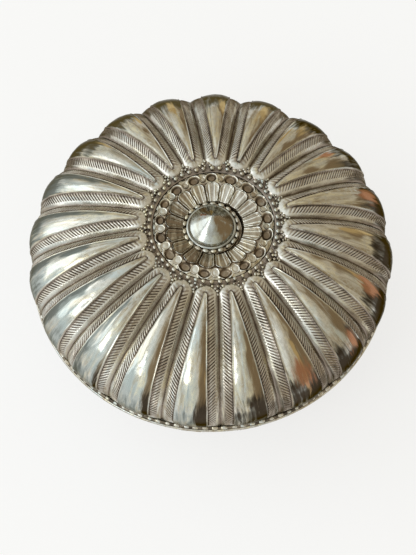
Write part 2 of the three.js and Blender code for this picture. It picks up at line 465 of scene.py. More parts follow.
@dataclass(frozen=True)
class Finish:
    """Silver with tarnish in its hollows, and painted light and shade where the marks ask: colours, gloss
    and the grain of handwork.
    """

    name: str
    bright: Triple
    tarnish: Triple
    gloss_roughness: float
    matt_roughness: float
    tarnish_amount: float
    dent_depth: float = 0.06 * MM
    dent_scale: float = 420.0
    grain_depth: float = 0.008 * MM
    grain_scale: float = 2600.0
    scratch_depth: float = 0.012 * MM
    scratch_scale: float = 1400.0
    scratch_stretch: Triple = (1.0, 0.12, 1.0)
    dent_stretch: Triple = (1.0, 0.45, 1.0)
    rubbing_stretch: Triple = (1.0, 0.2, 1.0)
    rubbing_change: Pair = (-0.04, 0.08)
    mottle_scale: float = 160.0
    recess_waver: Pair = (0.7, 1.25)
    streak_scale: float = 780.0
    streak_stretch: Triple = (1.0, 0.13, 1.0)
    streak_waver: float = 2.5
    hollow: Triple = (0.085, 0.07, 0.055)
    hue_strength: float = 0.85
    hue_range: Pair = (0.45, 0.63)
    edge_tint: Triple = (0.42, 0.40, 0.35)
    # Random bluish, yellowish, brown and bright streaks that run along the lobes: they vary the metal's
    # tone and also stand in for painted reflection streaks.
    reflection_and_tone_streaks: tuple[tuple[Triple, float, Triple], ...] = (
        ((0.78, 0.92, 1.02), 130.0, (1.0, 0.35, 1.0)),
        ((1.10, 1.05, 0.84), 300.0, (1.0, 0.12, 1.0)),
        ((0.50, 0.42, 0.31), 520.0, (1.0, 0.08, 1.0)),
        ((0.80, 0.80, 0.78), 1300.0, (1.0, 0.6, 1.0)),
    )
    # Tones laid on where the marks ask. The first lightens ribs and rims, partly real wear and partly a
    # painted highlight; the bluish, golden and coppery ones are painted reflections; the light brown, grey,
    # greenish-brown and dark brown ones are painted shade.
    tones: tuple[tuple[str, Triple], ...] = (
        ("worn", (0.80, 0.79, 0.73)),
        ("cool", (0.47, 0.515, 0.495)),
        ("tan", (0.27, 0.205, 0.13)),
        ("slate", (0.175, 0.19, 0.175)),
        ("olive", (0.12, 0.098, 0.058)),
        ("umber", (0.05, 0.038, 0.026)),
        ("gold", (0.60, 0.46, 0.24)),
        ("copper", (0.42, 0.21, 0.12)),
    )

    def material(self) -> bpy.types.Material:
        """Makes the procedural material, once for all the pieces that use it.

        Returns:
            The material.
        """
        existing = bpy.data.materials.get(self.name)
        if existing:
            return existing
        material = bpy.data.materials.new(self.name)
        material.use_nodes = True
        wiring = Wiring(material.node_tree)
        stain = self._stain(wiring)
        wiring.feed(
            material.node_tree.nodes["Principled BSDF"], Metallic=1.0, Specular_Tint=self.edge_tint,
            Base_Color=self._colour(wiring, stain), Roughness=self._roughness(wiring, stain),
            Normal=self._relief(wiring))
        return material

    def _stain(self, wiring: Wiring) -> Socket:
        """How tarnished each point is: deep in the hollows and blotched over the rest.

        Args:
            wiring: The material's nodes.

        Returns:
            The socket with the tarnish, from 0 to 1.
        """
        mottle = wiring.noise(self.mottle_scale, 5.0)
        waver = wiring.ramp(mottle, 0.2, 0.6, *self.recess_waver)
        ragged = wiring.math("MULTIPLY", wiring.mark("recess"), waver)
        spread = wiring.math("MULTIPLY", wiring.ramp(mottle, 0.35, 0.75), self.tarnish_amount)
        return wiring.math("ADD", ragged, spread, clamp=True)

    def _ragged(self, wiring: Wiring, mark: Socket, noise: Socket) -> Socket:
        """A mark whose soft edge is broken into streaks.

        Args:
            wiring: The material's nodes.
            mark: The mark.
            noise: The noise that breaks its edge.

        Returns:
            The socket with the broken mark, from 0 to 1.
        """
        waver = wiring.math("MULTIPLY", wiring.math("SUBTRACT", noise, 0.5), self.streak_waver)
        spread = wiring.math("SUBTRACT", wiring.math("MULTIPLY", mark, 2.0), 0.5)
        return wiring.ramp(wiring.math("ADD", spread, waver), 0.0, 1.0)

    def _colour(self, wiring: Wiring, stain: Socket) -> Socket:
        """The base colour: bright metal in random bluish, yellowish and brown streaks, partly tone and
        partly painted reflections, then painted light and shade laid on where the marks ask, under brown
        tarnish.

        Args:
            wiring: The material's nodes.
            stain: How tarnished each point is.

        Returns:
            The socket with the colour.
        """
        metal = self.bright
        streaks = wiring.noise(self.streak_scale, 4.0, self.streak_stretch, 0.5)
        for hue, scale, stretch in self.reflection_and_tone_streaks:
            cloud = wiring.noise(scale, 4.0, stretch, 0.6)
            veil = wiring.ramp(cloud, *self.hue_range, 0.0, self.hue_strength)
            metal = wiring.mix(veil, metal, tuple(share * tint for share, tint in zip(self.bright, hue)))
        for name, tone in self.tones:
            metal = wiring.mix(self._ragged(wiring, wiring.mark(name), streaks), metal, tone)
        stained = wiring.mix(wiring.ramp(stain, 0.0, 0.7), metal, self.tarnish)
        return wiring.mix(wiring.ramp(stain, 0.6, 0.95), stained, self.hollow)

    def _roughness(self, wiring: Wiring, stain: Socket) -> Socket:
        """The roughness: glossy on clean metal, dull in the tarnish and on the matt work, with faint
        rubbing marks.

        Args:
            wiring: The material's nodes.
            stain: How tarnished each point is.

        Returns:
            The socket with the roughness.
        """
        dull = wiring.math("MAXIMUM", stain, wiring.mark("matt"))
        base = wiring.ramp(dull, 0.0, 1.0, self.gloss_roughness, self.matt_roughness)
        rubbing = wiring.noise(self.scratch_scale, 3.0, self.rubbing_stretch)
        return wiring.math("ADD", base, wiring.ramp(rubbing, 0.3, 0.7, *self.rubbing_change), clamp=True)

    def _relief(self, wiring: Wiring) -> Socket:
        """The fine relief: shallow dents, light scratches and the metal's grain.

        Args:
            wiring: The material's nodes.

        Returns:
            The socket with the surface's normal.
        """
        layers = (
            (wiring.noise(self.dent_scale, 2.0, self.dent_stretch, 0.3), self.dent_depth),
            (wiring.noise(self.scratch_scale, 4.0, self.scratch_stretch), self.scratch_depth),
            (wiring.noise(self.grain_scale, 2.0), self.grain_depth),
        )
        normal = {}
        for height, depth in layers:
            bump = wiring.add("ShaderNodeBump")
            wiring.feed(bump, Strength=1.0, Distance=depth, Height=height, **normal)
            normal = {"Normal": bump.outputs["Normal"]}
        return normal["Normal"]


CHASED = Finish("chased_silver_sheet", bright=(0.69, 0.665, 0.60), tarnish=(0.32, 0.265, 0.22),
                gloss_roughness=0.17, matt_roughness=0.26, tarnish_amount=0.12)
BEADED = Finish("beaded_silver_wire", bright=(0.70, 0.67, 0.60), tarnish=(0.24, 0.20, 0.15),
                gloss_roughness=0.30, matt_roughness=0.45, tarnish_amount=0.2, dent_depth=0.03 * MM)
BURNISHED = Finish("burnished_silver_cone", bright=(0.53, 0.55, 0.53), tarnish=(0.32, 0.27, 0.20),
                   gloss_roughness=0.17, matt_roughness=0.4, tarnish_amount=0.2, dent_depth=0.03 * MM,
                   hue_strength=0.5)
TARNISHED = Finish("tarnished_silver_plate", bright=(0.68, 0.64, 0.55), tarnish=(0.26, 0.20, 0.14),
                   gloss_roughness=0.2, matt_roughness=0.4, tarnish_amount=0.25, dent_depth=0.04 * MM,
                   hollow=(0.13, 0.10, 0.07))
PLAIN = Finish("plain_silver_strip", bright=(0.68, 0.65, 0.59), tarnish=(0.28, 0.23, 0.17),
               gloss_roughness=0.18, matt_roughness=0.4, tarnish_amount=0.18)


@dataclass
class Strip:
    """A plain strip or wire turned round the axis: the corners of its section, and how they are rounded."""

    name: str
    body: Body
    node: str
    corners: list[Pair]
    recess: float = 0.1
    rounding: float = 0.3 * MM
    steps: int = 4
    segments: int = 240
    offset: Pair = (0.0, 0.0)

    def build(self) -> None:
        """Builds the strip as one piece."""
        piece = Piece(self.name, self.body, Slot.PLAIN, (self.node,), offset=self.offset)
        outline = rounded_outline(self.corners, self.rounding, self.steps)
        piece.add_skin(turned(outline, self.segments), recess=self.recess)
        piece.build(PLAIN)


@dataclass
class Wire(Strip):
    """A strip rounded far enough to read as a drawn wire."""

    rounding: float = 0.55 * MM
    steps: int = 6


@dataclass
class GrooveLine:
    """The line that a groove follows between two lobes, in radius and height, from its inner end.

    It faces up on the lid and down on the bowl.
    """

    radius: Array
    height: Array
    faces_up: bool

    def __post_init__(self) -> None:
        """Measures the line's length and its outward normals."""
        run = np.hypot(np.diff(self.radius), np.diff(self.height))
        self.distance = np.concatenate([[0.0], np.cumsum(run)])
        along_radius = np.gradient(self.radius, self.distance)
        along_height = np.gradient(self.height, self.distance)
        side = 1.0 if self.faces_up else -1.0
        self.normal_radius = -along_height * side
        self.normal_height = along_radius * side

    @property
    def length(self) -> float:
        """The line's whole length."""
        return float(self.distance[-1])

    def at(self, distance: Array) -> tuple[Array, Array, Array, Array]:
        """Radius, height and normal at each distance from the inner end."""
        values = (self.radius, self.height, self.normal_radius, self.normal_height)
        return tuple(np.interp(distance, self.distance, column) for column in values)


@dataclass
class LobeChasing:
    """Raised lobes with their chased edging, laid out over a groove line. Sizes are in metres.

    From each groove inward a lobe has a plain rib, a hatched band, a fine cut and raised line,
    and a smooth panel. The ribs meet in a round arch at the inner end.

    Stations are places of mesh columns, as shares of the width on the ridge and the panel and in metres on
    the line between them. HATCH_FROM and HATCH_TO are shares of the ridge's width. ROUNDNESS, SWELL and
    STROKE_SHARPNESS are powers. HAMMERING, BLOTCHES and VEINS hold the place of a noise's seed, its cells
    around and along, and for the hammering its strength. RIM_START is where the painted dark rim starts
    along a lobe, and how that varies from far to near; the dark rim is painted shade that stands in for
    dark reflections. The reach of a patch of painted reflection is its largest half width and half length,
    as shares of the lobe's. VEINING and the constants after it are strengths of the painted reflections and
    painted shade.
    """

    line: GrooveLine
    spacing: HandSpacing
    rise: float
    rise_fade: float
    mouth_rise: float
    seed: int
    # Strength of all the painted light and shade on these lobes.
    painted_light_strength: float = 1.0
    stroke_pitch: float = 1.12 * MM
    edging_width: float = 3.75 * MM
    edging_growth: float = 0.2
    ridge_height: float = 0.2 * MM
    groove_rounding: float = 0.4 * MM
    panel_height: float = 0.3 * MM
    hatch_depth: float = 0.34 * MM
    hatch_slant: float = 2.3 * MM
    cut_depth: float = 0.26 * MM
    line_height: float = 0.28 * MM
    corner_radius: float = 2.6 * MM
    toe_height: float = 1.1 * MM
    hammer_depth: float = 0.08 * MM
    rows_per_stroke: int = 4
    edge_fade: float = 6 * MM
    lobe_flow: float = 37 * MM

    RIDGE_STATIONS = (0.0, 0.1, 0.22, 0.35, 0.42, 0.59, 0.76, 0.93)
    LINE_STATIONS = (0.0, 0.18 * MM, 0.35 * MM, 0.52 * MM, 0.8 * MM)
    PANEL_STATIONS = (0.15, 0.35, 0.55, 0.78, 1.0)
    LINE_CENTRE = 0.35 * MM
    LINE_WIDTH = 0.17 * MM
    CUT_WIDTH = 0.2 * MM
    HATCH_FROM = 0.35
    HATCH_TO = (0.93, 0.99)
    ROUNDNESS = 2.25
    SWELL = 0.6
    ARCH_PLUMPNESS = 1.6
    ARCH_REACH = (2 * MM, 9 * MM)
    PANEL_SHOULDER = 0.9 * MM
    TOE_REACH = 1.5 * MM
    STAIN_DEPTH = 0.62
    STAIN_WIDTH = 0.55 * MM
    STROKE_SHARPNESS = 1.6
    STROKE_PRESS = (0.75, 1.0)
    HAMMERING = ((1, 90, 14, 1.0), (2, 260, 26, 0.8), (3, 60, 4, 1.5))
    BLOTCHES = (5, 110, 12)
    VEINS = (6, 420, 7)
    RIM_START = (0.68, 0.09)
    COPPER_REFLECTION_REACH = (0.5, 0.13)
    FAR_GOLD_REFLECTION_REACH = (0.3, 0.15)
    UPPER_GOLD_REFLECTION_REACH = (0.16, 0.14)
    LOWER_GOLD_REFLECTION_REACH = (0.1, 0.18)
    VEINING = 0.35
    COPPER = 0.8
    GOLD = 0.85
    COOL = 0.6
    TAN = 0.8
    TAN_SHADE_EDGING = 0.55
    FAR_FLANK_SHADE = 0.78
    NEAR_CORNER_SHADE = 0.9
    FAR_OLIVE_SHADE = 0.95
    GROOVE_SHADE = 0.8

    def half_width(self, distance: Array) -> Array:
        """Half the width of a lobe at each distance from its inner end."""
        radius = self.line.at(distance)[0]
        return math.pi * radius / self.spacing.count

    def ridge_width(self, distance: Array) -> Array:
        """Width of a rib and its hatched band together."""
        growth = 1 + self.edging_growth * (distance / self.line.length - 0.5)
        return np.minimum(self.edging_width * growth, self.half_width(distance) - 0.05 * MM)

    def columns(self, distance: Array) -> tuple[Array, Array]:
        """Where the mesh's columns lie across one lobe, at each row.

        Args:
            distance: Each row's distance from the inner end.

        Returns:
            Places from -1 to 1 across the lobe, as rows and columns, and each column's share of the slant.
        """
        half = self.half_width(distance)[:, None]
        ridge = self.ridge_width(distance)[:, None]
        panel = half - ridge
        squeeze = np.minimum(1.0, panel / (2 * self.LINE_STATIONS[-1]))
        on_ridge = ridge * np.array(self.RIDGE_STATIONS)
        on_line = ridge + squeeze * np.array(self.LINE_STATIONS)
        rest = panel - squeeze * self.LINE_STATIONS[-1]
        on_panel = on_line[:, -1:] + rest * np.array(self.PANEL_STATIONS)
        inside = np.concatenate([on_ridge, on_line, on_panel], axis=1)
        left = inside / half - 1
        slant = np.concatenate([
            np.clip((np.array(self.RIDGE_STATIONS) - self.HATCH_FROM) / (1 - self.HATCH_FROM), 0, 1),
            np.full(len(self.LINE_STATIONS), 1.0),
            0.5 + 0.5 * np.cos(math.pi * np.array(self.PANEL_STATIONS)),
        ])
        return np.concatenate([left, -left[:, -2:0:-1]], axis=1), np.concatenate([slant, slant[-2:0:-1]])

    def tones(self, lobe: Array, place: Array, along: Array, on_panel: Array) -> Marks:
        """Where light and shade are painted on the lobes: painted dark reflections near the rim, painted
        shade on the sides turned from the light, and painted reflections of the surroundings on some lobes.

        Args:
            lobe: Number of each point's lobe, counted from the near side.
            place: Place of each point across its lobe, from -1 to 1.
            along: Share of the way from the inner end to the rim.
            on_panel: How far each point lies on a panel, from 0 to 1.

        Returns:
            The marks, by name: painted bluish, golden and coppery reflections and painted light brown,
                grey, greenish-brown and dark brown shade.
        """
        turn = FULL_TURN * (lobe + 0.5 + place / 2) / self.spacing.count
        rightness = np.sin(turn)
        nearness = np.cos(turn)
        start = self.RIM_START[0] + self.RIM_START[1] * nearness
        turn_share = (lobe + place / 2) / self.spacing.count
        blotch = self.unevenness(self.BLOTCHES, turn_share, along)
        # Painted dark reflections near the rim, a painted shade that is weaker on the near and left side.
        low = 0.75 * step(start - 0.22, start + 0.04, along + 0.05 * blotch) * (0.4 + 0.6 * on_panel)
        low = np.maximum(low, step(start - 0.02, start + 0.06, along) * (0.6 + 0.4 * on_panel))
        low = low * (0.8 - 0.43 * step(0.3, 0.9, 0.7 * (nearness - rightness))) * (1 + 0.25 * blotch)
        far = step(0.2, 0.8, -nearness)
        right = step(-0.1, 0.55, rightness + 0.35 * nearness)
        away = np.maximum(far, right)
        on_right = step(-0.1, 0.4, rightness + 0.3 * nearness)
        beyond = along - start
        veins = self.VEINING * self.unevenness(self.VEINS, turn_share, along + 0.05 * blotch)
        # Painted coppery and golden reflections of warm surroundings, in patches on the right and far
        # lobes.
        copper = (self.COPPER + veins) * on_panel * on_right
        copper = copper * self.patches(lobe, place, beyond, self.COPPER_REFLECTION_REACH, 1)
        gold = (self.GOLD - veins) * on_panel * np.maximum(
            far * self.patches(lobe, -place, beyond, self.FAR_GOLD_REFLECTION_REACH, 2),
            on_right * np.maximum(self.patches(lobe, place, beyond + 0.1, self.UPPER_GOLD_REFLECTION_REACH, 3),
                                  self.patches(lobe, place, beyond + 0.05, self.LOWER_GOLD_REFLECTION_REACH, 4)))
        # Painted shade on the side of each panel turned from the light, and on the edging of the right and
        # far lobes.
        turned_away = place * nearness + 0.35 * rightness * along + 0.12 * blotch
        tan = self.TAN * on_panel * step(0.02, 0.3, turned_away) * step(0.02, 0.3, along)
        tan = np.maximum(tan, self.TAN_SHADE_EDGING * away * (1 - on_panel) * step(0.35, 0.75, along))
        # Painted shade in the grooves of the right and far lobes, on one flank of each left panel and in
        # the near panels' corners by the rim.
        in_groove = step(0.74, 1.0, np.abs(place)) * step(0.3, 0.85, along)
        left = step(0.3, 0.9, -rightness)
        far_flank_shade = self.FAR_FLANK_SHADE * on_panel * left * step(-0.08, 0.3, 0.15 * blotch - place)
        far_flank_shade = far_flank_shade * step(0.1, 0.35, along)
        near_corner_shade = self.NEAR_CORNER_SHADE * on_panel * step(0.3, 0.8, nearness) * step(0.58, 0.85, along)
        near_corner_shade = near_corner_shade * step(-0.02, 0.3, turned_away)
        # Painted bluish reflection of the pale left side on the left and near panels.
        cool = self.COOL * on_panel * (1 + 0.5 * blotch) * step(-0.1, 0.8, 0.35 * nearness - rightness)
        marks = {
            "cool": cool * (0.4 + 0.6 * step(0.35, 0.75, along)),
            "tan": tan,
            "slate": np.maximum(low, far_flank_shade),
            "olive": far * np.maximum(low, self.FAR_OLIVE_SHADE * step(0.63, 0.77, along)),
            "umber": np.maximum(np.maximum(low * right, near_corner_shade), self.GROOVE_SHADE * away * in_groove),
            "copper": copper,
            "gold": gold,
        }
        return {name: self.painted_light_strength * values for name, values in marks.items()}

    def unevenness(self, kind: tuple[int, int, int], turn_share: Array, along: Array) -> Array:
        """Unevenness of one kind, given as its seed's place, its cells around and its cells along."""
        place, cells_around, cells_along = kind
        return HandNoise(self.seed + place, cells_around, cells_along).sample(turn_share, along)

    def patches(self, lobe: Array, place: Array, beyond: Array, reach: Pair, seed: int) -> Array:
        """One soft patch of painted reflection on most lobes, each in its own place and size.

        Args:
            lobe: Number of each point's lobe.
            place: Place of each point across its lobe, from -1 to 1.
            beyond: How far each point lies beyond the start of the painted dark rim, as a share of the
                length.
            reach: The largest patch's half width and half length, in the same shares.
            seed: Seed of this set of patches.

        Returns:
            The patches' strength at each point, from 0 to 1.
        """
        rng = np.random.default_rng(self.seed * 10 + seed)
        count = self.spacing.count
        middle = rng.uniform(0.0, 0.5, count)
        drop = rng.uniform(-0.16, 0.02, count)
        size = rng.uniform(0, 1, count)
        scale = (0.45 + 0.55 * size)[lobe]
        sideways = (place - middle[lobe]) / (reach[0] * scale)
        lengthwise = (beyond - drop[lobe]) / (reach[1] * scale)
        return np.exp(-(sideways ** 2 + lengthwise ** 2)) * (size > 0.25)[lobe]

    def relief(self, lobe: Array, distance: Array, place: Array, stroke: Array,
               fine: bool) -> tuple[Array, Marks]:
        """Height of the raised work over the groove line.

        Args:
            lobe: Number of each point's lobe, counted from the near side.
            distance: Distance of each point from the inner end.
            place: Place of each point across its lobe, from -1 to 1.
            stroke: How far each point is cut by a hatch stroke, from 0 to 1.
            fine: Whether the chased lines are there; they don't show on the sheet's other side.

        Returns:
            The height at each point, and the marks that the finish reads.
        """
        half = self.half_width(distance)
        across = place * half
        arch_length = float(self.half_width(np.zeros(1))[0])
        short_of_arch = np.maximum(0, arch_length - distance) * half / arch_length
        inside = half - np.hypot(across, short_of_arch)
        ridge = self.ridge_width(distance)
        to_toe = self.line.length - self.toe_height - distance
        corner_across = np.maximum(self.corner_radius - (inside - ridge), 0)
        corner_along = np.maximum(self.corner_radius - to_toe, 0)
        rounded = self.corner_radius - np.hypot(corner_across, corner_along)
        in_corner = (corner_across > 0) | (corner_along > 0)
        panel = np.where(in_corner, rounded, np.minimum(inside - ridge, to_toe))
        share = np.clip(inside / np.maximum(inside - panel, 1e-6), 0, 1)
        rounded_inside = np.hypot(np.maximum(inside, 0), self.groove_rounding) - self.groove_rounding
        fullness = np.clip(rounded_inside / half, 0, 1)
        along = distance / self.line.length
        swell = np.maximum(np.sin(math.pi * np.clip(along, 0.02, 1)), 0) ** self.SWELL
        rise = self.rise * swell * (1 - self.rise_fade * along) + self.mouth_rise * along
        height = rise * (1 - (1 - fullness) ** self.ROUNDNESS)
        toe = step(0, self.TOE_REACH, self.line.length - distance)
        on_ridge = np.sin(math.pi * share ** 0.6) * (inside > 0)
        plump = 1 + self.ARCH_PLUMPNESS * (1 - step(*self.ARCH_REACH, distance))
        height = height + self.ridge_height * plump * on_ridge * (0.25 + 0.75 * toe)
        on_panel = 1 - np.exp(-np.maximum(panel, 0) / self.PANEL_SHOULDER)
        height = height + self.panel_height * on_panel
        if not fine:
            return height, {}
        cut = ripple(panel, 0.0, self.CUT_WIDTH) * (inside > 0)
        raised = ripple(panel, self.LINE_CENTRE, self.LINE_WIDTH)
        window = step(self.HATCH_FROM, self.HATCH_FROM + 0.06, share)
        window = window * (1 - step(*self.HATCH_TO, share))
        window = window * (inside > 0) * toe * (0.15 + 0.85 * step(1 * MM, 7 * MM, distance))
        height = height - self.cut_depth * cut + self.line_height * raised
        height = height - self.hatch_depth * window * stroke
        groove = self.STAIN_DEPTH * np.exp(-np.maximum(inside, 0) / self.STAIN_WIDTH)
        on_panel = step(0.2 * MM, 0.9 * MM, panel)
        marks = self.tones(lobe, place, along, on_panel)
        marks["matt"] = 1 - on_panel
        # Ribs and the lands between hatch strokes are lightened, more towards the inner end: partly real
        # wear, partly a painted highlight.
        wear_and_highlight_strength = 0.45 + 0.25 * (1 - step(0.05, 0.22, along))
        marks["worn"] = wear_and_highlight_strength * np.maximum(on_ridge ** 2, window * (1 - stroke)) * (1 - on_panel)
        marks["recess"] = np.clip(groove + 0.85 * cut + window * stroke, 0, 1)
        return height, marks

    def surface(self, fine: bool, rows: int = 0) -> tuple[Array, Array, Marks]:
        """The whole chased surface as rings of points.

        Args:
            fine: Whether to cut the hatching and the lines.
            rows: Number of rows for a plain surface; a fine one takes its rows from the strokes.

        Returns:
            Points as rows, columns and x, y, z, with their flow and the marks in the same layout.
        """
        length = self.line.length
        if fine:
            strokes = round(length / self.stroke_pitch)
            rows = strokes * self.rows_per_stroke + 1
        start = np.linspace(0, length, rows)
        places, slant = self.columns(start)
        rng = np.random.default_rng(self.seed)
        fade = step(0, self.edge_fade, start) * step(0, self.edge_fade, length - start)
        rows_of_lobes, rows_of_distance = [], []
        for lobe in range(self.spacing.count):
            offset = rng.uniform(-0.5, 0.5) * self.stroke_pitch
            away = 1 - np.abs(places[0]) ** 8
            shift = fade[:, None] * (slant * self.hatch_slant + offset * away)[None, :] * float(fine)
            rows_of_lobes.append(lobe + 0.5 + places / 2)
            rows_of_distance.append(start[:, None] + shift)
        share = np.concatenate(rows_of_lobes, axis=1)
        distance = np.clip(np.concatenate(rows_of_distance, axis=1), 0, length)
        place = np.tile(places, (1, self.spacing.count))
        cycle = 0.5 + 0.5 * np.cos(FULL_TURN * np.arange(rows) / self.rows_per_stroke)
        cycle = cycle ** self.STROKE_SHARPNESS
        press = rng.uniform(*self.STROKE_PRESS, (rows // self.rows_per_stroke + 1, self.spacing.count))
        press = np.repeat(np.repeat(press, self.rows_per_stroke, axis=0)[:rows], places.shape[1], axis=1)
        lobe = np.broadcast_to(np.repeat(np.arange(self.spacing.count), places.shape[1]), place.shape)
        height, marks = self.relief(lobe, distance, place, cycle[:, None] * press, fine)
        radius, level, normal_radius, normal_level = self.line.at(distance)
        hammer = 0.0
        for *kind, strength in self.HAMMERING:
            blows = self.unevenness(kind, share / self.spacing.count, distance / length)
            hammer = hammer + strength * blows
        height = height + self.hammer_depth * hammer * step(0, 4 * MM, length - distance)
        angle = self.spacing.angle(share)
        across = place * self.half_width(distance) + lobe * self.lobe_flow
        flow = np.stack([across, distance, height], axis=-1)
        return around(radius + normal_radius * height, level + normal_level * height, angle), flow, marks


LOBES = HandSpacing(count=20, phase=5.2, drift=2.4, drift_peak=145)
PETALS = HandSpacing(count=17, phase=1.8, drift=2.2, drift_peak=95)


def beads(piece: Piece, ring_radius: float, height: float, count: int, size: Triple, seed: int) -> None:
    """Adds a ring of separate beads to a piece.

    Args:
        piece: The piece to add to.
        ring_radius: Radius of the ring through the beads' middles.
        height: Height of the beads' middles.
        count: Number of beads.
        size: Half of a bead's size along the ring, across it and upward.
        seed: Seed of the beads' unevenness.
    """
    rng = np.random.default_rng(seed)
    for index in range(count):
        angle = FULL_TURN * (index + rng.uniform(-0.07, 0.07)) / count
        scale = np.array(size) * rng.uniform(0.9, 1.08)
        add_bead(piece, ring_radius + rng.uniform(-0.05, 0.05) * size[1], height, angle, scale)


def add_bead(piece: Piece, ring_radius: float, height: float, angle: float, size: Array) -> None:
    """Adds one bead, with its underside darker.

    Args:
        piece: The piece to add to.
        ring_radius: Distance of the bead's middle from the axis.
        height: Height of the bead's middle.
        angle: Angle of the bead from +X.
        size: Half of its size along the ring, across it and upward.
    """
    sides, bands = 14, 9
    turn = np.linspace(0, FULL_TURN, sides, endpoint=False)
    tilt = np.linspace(0.02, math.pi - 0.02, bands)[:, None]
    along = size[0] * np.sin(tilt) * np.cos(turn)
    across = size[1] * np.sin(tilt) * np.sin(turn)
    up = size[2] * np.cos(tilt) + 0 * turn
    outward = np.array([math.cos(angle), math.sin(angle)])
    tangent = np.array([-outward[1], outward[0]])
    x = outward[0] * (ring_radius + across) - tangent[0] * along
    y = outward[1] * (ring_radius + across) - tangent[1] * along
    points = np.stack([x, y, height + up], axis=-1)
    low = step(-0.1, -0.9, np.cos(tilt)) + 0 * turn
    piece.add_skin(points[:, ::-1], closes=False, recess=low)


@dataclass
class Lid:
    """The lid: chased dome, mouth wires and the medallion with its cone.

    SEAT is the outline of the sunken middle, as radii and heights in millimetres from the dome's top.
    """

    seam: float
    mouth_radius: float
    gap: float = 0.3 * MM
    sheet: float = 0.9 * MM
    dome_height: float = 30.7 * MM
    dome_top_radius: float = 23.1 * MM
    dome_groove_radius: float = 64.6 * MM
    mouth_height: float = 3.45 * MM
    tuck: float = 0.9 * MM
    medallion_offset: float = 1.1 * MM
    dome_spread: float = 1.49
    dome_climb: float = 0.81
    bead_inset: float = 0.9 * MM
    bead_core: float = 0.62 * MM

    SEAT = ((3.2, -4.9), (10.6, -4.9), (21.2, -1.3), (21.3, -0.2), (21.8, 0.0))

    def eccentric(self, points: Array) -> Array:
        """Draws the dome to the right towards its middle, where the medallion is off centre.

        Args:
            points: The dome's points, in any layout that ends in x, y, z.

        Returns:
            The moved points.
        """
        radius = np.hypot(points[..., 0], points[..., 1])
        moved = points.copy()
        outward = step(self.dome_top_radius, self.mouth_radius, radius)
        moved[..., 0] += self.medallion_offset * (1 - outward)
        return moved

    def groove_line(self) -> GrooveLine:
        """Draws the groove's course over the dome.

        Returns:
            The line from the medallion's edge to the mouth.
        """
        along = np.linspace(0, 1, 600)
        quarter = along * math.pi / 2
        tuck = self.tuck * np.maximum(0, (along - 0.8) / 0.2) ** 2
        span = self.dome_groove_radius - self.dome_top_radius
        radius = self.dome_top_radius + span * np.sin(quarter) ** self.dome_spread - tuck
        climb = np.maximum(0, np.cos(quarter)) ** self.dome_climb
        height = self.mouth_height + (self.dome_height - self.mouth_height) * climb
        return GrooveLine(radius, self.seam + height, faces_up=True)

    def build(self) -> None:
        """Builds every piece of the lid."""
        self.build_shell()
        self.build_mouth()
        Medallion(self.seam + self.dome_height, (self.medallion_offset, 0.0)).build()

    def build_shell(self) -> None:
        """The dome: chased outside, plainer inside, sunk in the middle for the medallion."""
        chasing = LobeChasing(self.groove_line(), LOBES, rise=4.6 * MM, rise_fade=0.4,
                              mouth_rise=0.2 * MM, seed=11)
        outside, flow, marks = chasing.surface(fine=True)
        outside[-1, :, 2] = self.seam + self.mouth_height
        plain, _, _ = chasing.surface(fine=False, rows=34)
        plain_inside = inset(plain, self.sheet)
        plain_inside[-1, :, 2] = self.seam + self.mouth_height
        seat = np.array(self.SEAT) * MM
        seat[:, 1] += self.seam + self.dome_height
        angle = np.arctan2(outside[0, :, 1], outside[0, :, 0])
        top_seat = around(seat[:, :1], seat[:, 1:], angle[None, :])
        under_seat = around(seat[:, :1], seat[:, 1:] - self.sheet, angle[None, :])
        rings = self.eccentric(np.concatenate([top_seat, outside, plain_inside[::-1], under_seat[::-1]]))
        flows = np.concatenate([top_seat, flow, rings[len(seat) + len(outside):]])
        marks = padded(marks, len(seat), 0.5, len(plain_inside) + len(seat), 0.25)
        piece = Piece("lid_dome", Body.LID, Slot.CHASED, ("lid_shell",))
        piece.add_skin(rings, flow=flows, **marks)
        piece.build(CHASED)

    def build_mouth(self) -> None:
        """The plain band, the plain wire and the beaded wire at the mouth."""
        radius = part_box("lid_mouth_band")[1][0]
        band = band_corners(radius - self.sheet, radius, *levels(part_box("lid_mouth_band")))
        Strip("lid_inner_band", Body.LID, "lid_mouth_band", band).build()
        wire = band_corners(radius + self.gap, self.mouth_radius, *levels(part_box("lid_edge_wire")))
        Wire("lid_plain_wire", Body.LID, "lid_edge_wire", wire, recess=0.05).build()
        middle = sum(levels(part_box("lid_beaded_wire"))) / 2
        bead_ring = self.mouth_radius - self.bead_inset
        beaded = Piece("lid_rim_beads", Body.LID, Slot.CHASED, ("lid_beaded_wire",))
        angle = np.linspace(0, FULL_TURN, 10, endpoint=False)
        core = np.stack([np.cos(-angle), np.sin(-angle)], axis=1) * self.bead_core
        beaded.add_skin(turned(np.array([bead_ring, middle]) + core, 240), recess=0.6)
        beads(beaded, bead_ring, middle, count=122, size=(1.58 * MM, 0.76 * MM, 0.74 * MM), seed=5)
        beaded.build(BEADED)


